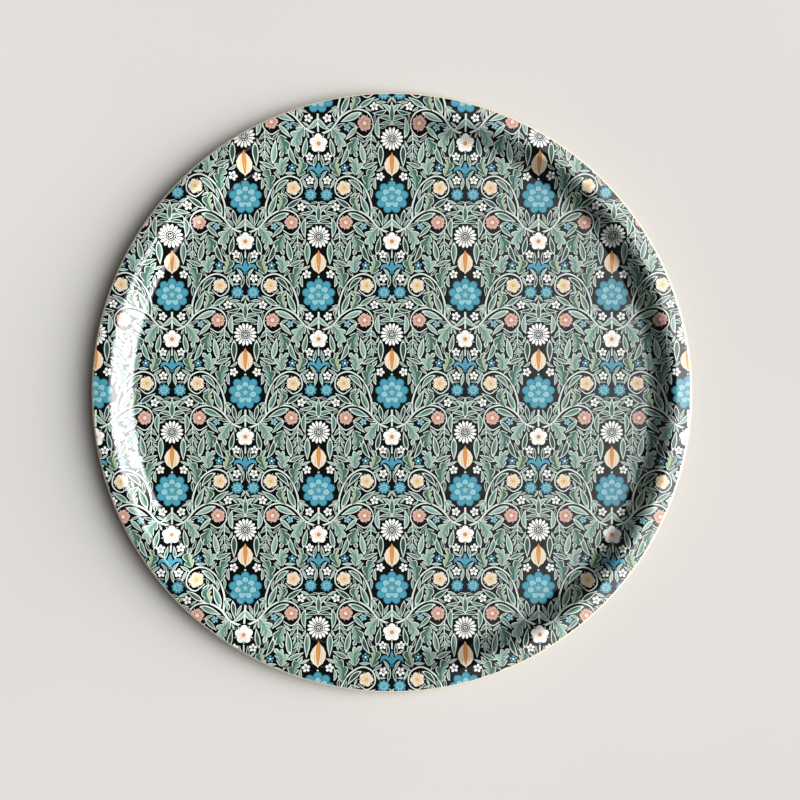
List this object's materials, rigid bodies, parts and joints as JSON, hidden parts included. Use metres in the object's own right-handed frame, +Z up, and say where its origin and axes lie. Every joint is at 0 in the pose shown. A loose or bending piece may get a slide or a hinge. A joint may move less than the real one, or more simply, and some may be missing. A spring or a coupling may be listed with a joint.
{
  "type": "serving tray",
  "caption": "Round serving tray pressed from birch veneer, with a flat floor, a sloping wall and a flared lip, faced with a glossy printed pattern of foliage and flowers.",
  "frame": {"origin": "centre of the flat underside, where the tray stands on a table", "axes": "+Z up along the tray's axis of revolution, +Y towards the top of the printed pattern, +X to its right"},
  "size_m": [0.3899, 0.39, 0.0155],
  "materials": {
    "clear_overlay": "clear high-gloss melamine film",
    "printed_decor": "printed sheet under a high-gloss clear layer: green, cream and blue foliage on near-black",
    "long_grain_veneer": "pale birch with its grain along X, cut edge sanded and clear lacquered",
    "cross_grain_veneer": "pale birch with its grain along Y, so that its end grain shows darker at the cut edge",
    "birch_backing": "clear satin melamine film on a fine birch grain"
  },
  "bodies": {
    "root": {"wear_overlay": "clear_overlay", "decor_sheet": "printed_decor", "veneer_face": "long_grain_veneer", "veneer_cross_upper": "cross_grain_veneer", "veneer_core": "long_grain_veneer", "veneer_cross_lower": "cross_grain_veneer", "veneer_back": "long_grain_veneer", "backing_sheet": "birch_backing"}
  },
  "joints": []
}
